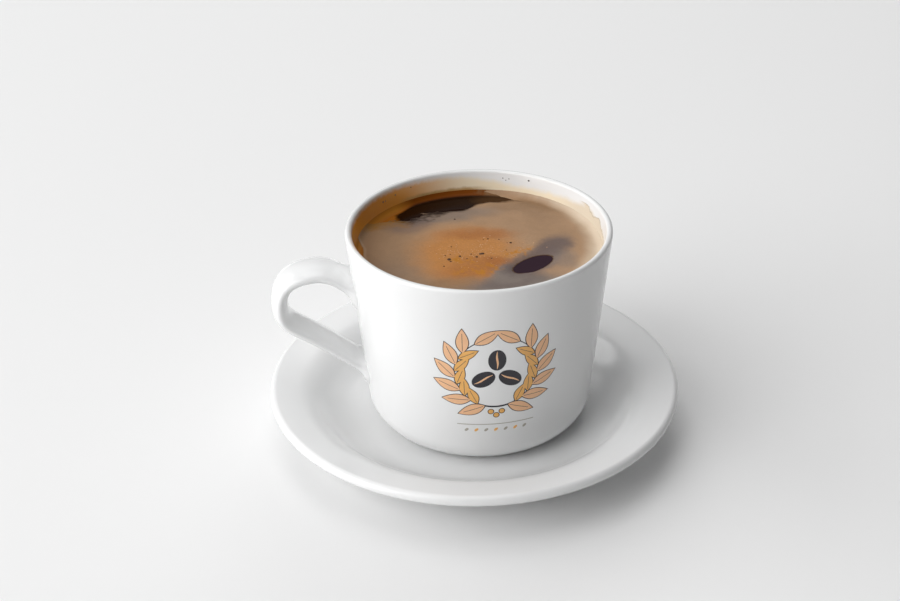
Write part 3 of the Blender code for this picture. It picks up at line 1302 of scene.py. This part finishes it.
# %% The inside of the wall
INNER_FACE_DEPTH = 1.2


def inner_face(tree, place):
    """Mask the inside of the cup's wall by how far a point lies from the outside's cone."""
    height = axes(tree, place)["Z"]
    from_cone = times_plus(tree, height, -WALL_SLOPE, length(tree, flatten(tree, place)))
    limit = outer_radius(0.0) - INNER_FACE_DEPTH
    inside = fade(tree, from_cone, limit + 0.15, limit - 0.15)
    return times(tree, inside, fade(tree, height, 60.0, 66.0))

# %% Cup glaze
FILM_AMBER = (0.74, 0.305, 0.035)
FILM_CREAM = (0.80, 0.69, 0.51)
FILM_BUFF = (0.66, 0.575, 0.455)
FILM_DEEP = (0.42, 0.25, 0.09)
TIDE_BROWN = (0.40, 0.32, 0.22)
BUFF_SIDE = (-42.0, -66.0)
AMBER_SIDE = ((-5.0, 38.0), (122.0, 102.0))
DEEP_SIDE = ((-16.0, 0.0), (40.0, 20.0))
DEEP_HEIGHTS = (76.9, 75.3)
TIDE_SIDE = ((-62.0, -70.0), (-125.0, -100.0))


def film_over(tree, white):
    """Stain the inside of the wall below the film's edge."""
    place = place_on(tree, CUP_MIDDLE)
    height = axes(tree, place)["Z"]
    turned = turn_round(tree, place)
    inside = inner_face(tree, place)
    uneven = minus(tree, cloud(tree, place, 2.6, 5.0, 0.7), 0.5)
    edge = times_plus(tree, uneven, 1.8, line_round(tree, turned, FILM_EDGE))
    tide = times_plus(tree, uneven, 2.4, line_round(tree, turned, TIDE_LINE))
    over = minus(tree, height, tide)
    tide_side = band(tree, turned, *TIDE_SIDE)
    dried = times(tree, fade(tree, over, 0.15, -0.15), tide_side)
    wet = sum_up(tree, "MAXIMUM", fade(tree, minus(tree, edge, height), -0.3, 2.3), dried)
    film = mix(tree, fade(tree, turned, *BUFF_SIDE), FILM_CREAM, FILM_BUFF)
    film = mix(tree, band(tree, turned, *AMBER_SIDE), film, FILM_AMBER)
    near = fade(tree, times_plus(tree, uneven, 1.5, height), *DEEP_HEIGHTS)
    film = mix(tree, times(tree, near, band(tree, turned, *DEEP_SIDE)), film, FILM_DEEP)
    stained = mix(tree, times(tree, wet, inside), white, film)
    border = fade(tree, sum_up(tree, "ABSOLUTE", over), 0.34, 0.08)
    border = times(tree, border, tide_side, inside, 0.6)
    return mix(tree, border, stained, TIDE_BROWN)


def stained_glaze(tree, bare_below):
    """Glazed porcelain with the film on the inside of its wall."""
    inputs = glaze(tree, bare_below)
    inputs["Base Color"] = film_over(tree, inputs["Base Color"])
    return inputs


dress(cup, "cup porcelain", stained_glaze, CUP_BARE_BELOW)
print("glazed the cup and stained its inside")

# %% [markdown]
# ## Coffee
#
# Black coffee is so dark that almost all that shows is its shine. Only at the wall, where it is
# thin, does light come through it, amber, and golden on the handle's side. At the right of the
# crescent a little foam is stirred into it.

# %% Coffee finish
COFFEE_DARK = (0.0150, 0.0045, 0.0014)
COFFEE_PLUM = (0.034, 0.019, 0.027)
COFFEE_AMBER = (0.165, 0.043, 0.003)
COFFEE_TEAK = (0.052, 0.021, 0.006)
COFFEE_GOLD = (0.42, 0.165, 0.020)
COFFEE_SHALLOW = (0.33, 0.113, 0.014)
COFFEE_BROWN = (0.19, 0.10, 0.045)
PLUM_PATCH = (OVAL_MIDDLE, (14.0, 10.0), OVAL_DEG, 0.2)
TEAK_PATCH = ((12.0, 35.0), (9.0, 4.5), -20.0, 0.5)
GOLD_SIDE = ((26.0, 40.0), (120.0, 106.0))


def black_coffee(tree):
    """Black coffee that turns amber where it thins out at the wall."""
    place = flatten(tree, place_on(tree, CUP_MIDDLE))
    turned = turn_round(tree, place)
    reach = length(tree, place)
    dark = mix(tree, patch(tree, place, *TEAK_PATCH), COFFEE_DARK, COFFEE_TEAK)
    dark = mix(tree, patch(tree, place, *PLUM_PATCH), dark, COFFEE_PLUM)
    gold_side = band(tree, turned, *GOLD_SIDE)
    at_wall = fade(tree, times_plus(tree, gold_side, 1.6, reach), 40.9, 42.3)
    at_left = fade(tree, axes(tree, stir(tree, place, 2.5, 2.5))["X"], -25.6, -28.2)
    gold = mix(tree, fade(tree, reach, 40.5, 42.5), COFFEE_SHALLOW, COFFEE_GOLD)
    thin = mix(tree, gold_side, COFFEE_AMBER, gold)
    foamy = fade(tree, times_plus(tree, cloud(tree, place, 2.0, 4.0), 16.0, turned), 4.0, -6.0)
    thin = mix(tree, times(tree, foamy, fade(tree, turned, -60.0, -30.0)), thin, COFFEE_BROWN)
    return {
        "Base Color": mix(tree, sum_up(tree, "MAXIMUM", at_wall, at_left), dark, thin),
        "Roughness": times_plus(tree, fade(tree, reach, 39.8, 41.2), 0.30, 0.09),
        "IOR": 1.34,
        "Specular IOR Level": 0.12,
    }


dress(coffee, "black coffee", black_coffee)
print("coloured the coffee")

# %% [markdown]
# ## Crema
#
# The foam isn't one colour. It is orange-brown in the middle, greyer and thinner at the left,
# paler towards the right, and full of bubbles too small to model. The colours lie over each other
# as soft ellipses, whose borders are stirred as the foam was, and a fine grain lies over them.

# %% Crema colours
TAN = (0.335, 0.205, 0.115)
GREY = (0.172, 0.140, 0.120)
ORANGE = (0.41, 0.172, 0.042)
RUST = (0.31, 0.110, 0.025)
SMOKE = (0.110, 0.080, 0.074)
BROWN = (0.215, 0.125, 0.063)
FOAM_PATCHES = (
    (BROWN, 0.50, (-33.0, 1.0), (14.0, 25.0), 0.0, 0.6),
    (BROWN, 0.30, (30.0, 14.0), (12.0, 18.0), 20.0, 0.6),
    (GREY, 0.25, (-29.0, -16.0), (13.0, 9.0), -25.0, 0.7),
    (GREY, 0.70, (-11.0, 25.5), (20.0, 5.0), 8.0, 0.6),
    (SMOKE, 0.70, (-23.5, 21.0), (8.5, 6.0), 14.0, 0.6),
    (BROWN, 0.60, (16.0, 30.5), (9.0, 4.0), -20.0, 0.6),
    (ORANGE, 0.95, (-5.0, -5.0), (17.5, 19.5), -12.0, 0.42),
    (RUST, 0.70, (1.0, 10.0), (12.0, 3.4), -4.0, 0.6),
    (RUST, 0.45, (-1.5, -8.5), (7.0, 2.6), -8.0, 0.6),
    (RUST, 0.95, (4.8, -11.5), (4.5, 3.6), 20.0, 0.6),
    (RUST, 0.70, (-4.0, -15.5), (11.0, 5.5), 4.0, 0.6),
    (BROWN, 0.60, (-13.0, -25.0), (9.0, 5.0), 10.0, 0.6),
    (GREY, 1.00, (8.0, -29.0), (18.0, 7.5), 8.0, 0.5),
    (SMOKE, 0.60, (7.0, -25.0), (11.0, 4.5), 10.0, 0.6),
    (GREY, 1.00, (8.0, -20.5), (7.5, 6.0), 30.0, 0.45),
    (SMOKE, 0.90, (27.0, -2.5), (8.0, 4.6), 60.0, 0.6),
    (SMOKE, 0.80, (17.0, -13.6), (12.4, 6.9), 34.0, 0.3),
    (BROWN, 0.95, (26.0, 30.0), (9.0, 2.8), -40.0, 0.7),
    (BROWN, 0.45, (27.0, 26.0), (10.0, 6.0), -40.0, 0.7),
    (BROWN, 0.25, (13.0, 39.0), (9.0, 4.0), -20.0, 0.6),
    (GREY, 0.55, (28.0, -13.0), (5.0, 6.0), 0.0, 0.6),
)


print("the crema has", len(FOAM_PATCHES), "patches of colour")

# %% Swirled colour
GOLD = (0.39, 0.150, 0.008)
GOLD_FLECKS = (
    ((-6.2, -8.0), (5.0, 2.6), -10.0, 0.5),
    ((14.5, -5.0), (5.5, 2.6), 20.0, 0.5),
    ((-2.0, -15.5), (8.0, 4.0), 5.0, 0.5),
)


def swirled_colour(tree, place):
    """Lay the patches of colour over each other, with swirled borders."""
    swirled = stir(tree, stir(tree, place, 14.0, 9.0), 4.0, 3.0)
    colour = TAN
    for tone, strength, *ellipse in FOAM_PATCHES:
        mask = times(tree, patch(tree, swirled, *ellipse), strength)
        colour = mix(tree, mask, colour, tone)
    flecked = fade(tree, cloud(tree, stir(tree, place, 2.0, 2.0), 3.2, 4.0, 0.6), 0.46, 0.60)
    for ellipse in GOLD_FLECKS:
        mask = times(tree, patch(tree, swirled, *ellipse), flecked)
        colour = mix(tree, mask, colour, GOLD)
    return colour

# %% Fine grain
GRAIN_PATCH = ((0.0, -4.0), (22.0, 15.0), 0.0, 0.6)


def fine_grain(tree, place, colour):
    """Add the grain of bubbles too small to model, strongest in the middle."""
    grain = minus(tree, cloud(tree, place, 0.8, 3.0, 0.7), 0.5)
    streaks = minus(tree, cloud(tree, stir(tree, place, 12.0, 14.0), 5.0, 5.0, 0.65), 0.5)
    amount = times_plus(tree, patch(tree, place, *GRAIN_PATCH), 0.55, 0.25)
    bright = times_plus(tree, streaks, 0.35, times_plus(tree, grain, amount, 1.1))
    return add(tree, "VectorMath", {0: colour, "Scale": bright}, operation="SCALE").outputs[0]

# %% [markdown]
# At its borders the foam changes. On the side away from the handle it is piled up, pale, against
# the wall. Towards the crescent it thins out and the coffee shows through it, most of all in the
# wisps at the left. By the handle a thin bright line runs along its shore. The masks use the
# turn round the cup and the distance from the border, which the mesh carries.

# %% Foam piled against the wall
CREAM = (0.575, 0.475, 0.362)
BANK_SHIFT = (2.0, -3.0, 0.0)
BANK_SIDE = ((-6.0, -30.0), (-160.0, -130.0))


def pale_bank(tree, place, colour):
    """Pile paler foam up against the wall on the side away from the handle."""
    moved = sum_vectors(tree, "ADD", stir(tree, place, 9.0, 3.0), BANK_SHIFT)
    turned = turn_round(tree, place)
    back = fade(tree, turned, -62.0, -35.0)
    away = times_plus(tree, back, -1.6, length(tree, moved))
    mask = times(tree, fade(tree, away, 38.0, 45.5), band(tree, turned, *BANK_SIDE))
    return mix(tree, mask, colour, CREAM)

# %% Wet borders
WET = (0.022, 0.014, 0.011)
WET_BROWN = (0.075, 0.038, 0.016)
WET_GOLD = (0.32, 0.16, 0.045)
SHORE_LINE = (0.50, 0.38, 0.27)
WET_GOLD_SIDE = ((42.0, 54.0), (118.0, 104.0))
STRIP_LIMITS = (38.8, 40.6)
STRIP_SIDE = (34.0, 24.0)
LINE_SIDE = (62.0, 76.0)


def wisps(tree, place):
    """Give streaks from -0.5 to 0.5 that run from side to side."""
    drawn = sum_vectors(tree, "MULTIPLY", place, (0.45, 1.0, 1.0))
    return minus(tree, cloud(tree, drawn, 0.9, 4.0, 0.6), 0.5)


def wet_border(tree, place, colour):
    """Let the coffee show where the foam thins out, widely at the back and least at the handle."""
    shore = add(tree, "Attribute", {}, attribute_name="shore").outputs["Fac"]
    turned = turn_round(tree, place)
    across = axes(tree, place)
    back = fade(tree, across["Y"], 12.0, 20.0)
    torn = times(tree, fade(tree, across["X"], -4.0, -17.0), back)
    gold_side = band(tree, turned, *WET_GOLD_SIDE)
    gold_back = times(tree, gold_side, back)
    raggedness = times_plus(tree, torn, 7.0, times_plus(tree, back, 1.6, 0.8))
    deep = times_plus(tree, wisps(tree, place), raggedness, shore)
    width = times_plus(tree, torn, 4.6, times_plus(tree, back, 2.1, 0.5))
    width = times_plus(tree, gold_back, 3.0, width)
    strip = times(
        tree, fade(tree, length(tree, place), *STRIP_LIMITS), fade(tree, turned, *STRIP_SIDE)
    )
    thin = fade(tree, sum_up(tree, "DIVIDE", deep, width), 1.0, 0.0)
    thin = times(tree, thin, minus(tree, 1.0, strip))
    wet = mix(tree, fade(tree, across["X"], -4.0, 8.0), WET, WET_BROWN)
    wet = mix(tree, gold_side, wet, WET_GOLD)
    colour = mix(tree, times(tree, thin, 0.95), colour, wet)
    line = band(tree, shore, (0.1, 0.6), (1.7, 0.8))
    line = times(tree, line, gold_side, fade(tree, turned, *LINE_SIDE), 0.35)
    return mix(tree, line, colour, SHORE_LINE), thin

# %% Crema finish


def foam(tree):
    """Tan foam with its patches, its grain and its borders."""
    place = flatten(tree, place_on(tree, CUP_MIDDLE))
    colour = fine_grain(tree, place, swirled_colour(tree, place))
    colour, thin = wet_border(tree, place, pale_bank(tree, place, colour))
    return {
        "Base Color": colour,
        "Roughness": 0.45,
        "Specular IOR Level": times_plus(tree, thin, -0.22, 0.25),
    }


dress(crema, "crema foam", foam)
print("coloured the crema")

# %% [markdown]
# The bubbles' colour varies from one to the next. The dried drops are dark on the white wall and
# brown where the film is amber.

# %% Bubble and drop finishes
DARK_BUBBLE = ((0.020, 0.007, 0.003), (0.08, 0.027, 0.008))
PALE_BUBBLE = ((0.30, 0.12, 0.035), (0.75, 0.48, 0.26))
DRIED_DROP = ((0.055, 0.040, 0.030), (0.23, 0.115, 0.038))


def bubble_skin(tree, colours, roughness):
    """A bubble's skin, its colour uneven from bubble to bubble."""
    uneven = cloud(tree, place_on(tree), 2.0)
    return {"Base Color": mix(tree, uneven, *colours), "Roughness": roughness}


def dried_skin(tree, colours):
    """A dried drop's skin, its colour changing from the right to the left."""
    leftwards = fade(tree, axes(tree, place_on(tree))["X"], 8.0, -8.0)
    return {"Base Color": mix(tree, leftwards, *colours), "Roughness": 0.5}


dress(dark_bubbles, "dark bubble", bubble_skin, DARK_BUBBLE, 0.2)
dress(pale_bubbles, "pale bubble", bubble_skin, PALE_BUBBLE, 0.3)
dress(dried_drops, "dried drop", dried_skin, DRIED_DROP)
print("coloured the bubbles and the drops")

# %% [markdown]
# ## Ceramic colours
#
# Fired colours sink a little into the glaze, so they shine almost as it does and cover slightly
# unevenly. A little noise in the colour and in the gloss does both.

# %% Print finishes
PRINT_COLOURS = {
    "dark": (0.016, 0.014, 0.020),
    "veins": (0.050, 0.040, 0.045),
    "peach": (0.74, 0.43, 0.24),
    "gold": (0.72, 0.38, 0.105),
    "grey": (0.36, 0.34, 0.29),
}


def fired_colour(tree, colour):
    """A fired colour that covers slightly unevenly."""
    place = place_on(tree)
    lighter = [v * 1.12 + 0.006 for v in colour]
    return {
        "Base Color": mix(tree, cloud(tree, place, 1.6), colour, lighter),
        "Roughness": times_plus(tree, cloud(tree, place, 5.0), 0.08, 0.12),
    }


for layer, made in print_layers.items():
    dress(made, "fired " + layer, fired_colour, PRINT_COLOURS[layer])
print("coloured the print")

# %% [markdown]
# ## Hand the pieces over
#
# Each piece says which measured solid it stands for, which finish of the record it takes and
# which body it moves with. Nothing here moves, so all ride on the one body.

# %% Hand over
HANDED_OVER = (
    (saucer, "saucer", "porcelain"),
    (cup, "cup", "porcelain"),
    (coffee, "coffee", "coffee"),
    (crema, "crema", "crema"),
)
ADDED = (
    (dark_bubbles, "crema"),
    (pale_bubbles, "crema"),
    (dried_drops, "coffee"),
    *((made, "porcelain") for made in print_layers.values()),
)
for piece, node, slot in HANDED_OVER:
    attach(piece, "root")
    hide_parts(node)
for piece, slot in ADDED:
    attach(piece, "root")
print("handed over", len(HANDED_OVER) + len(ADDED), "pieces")
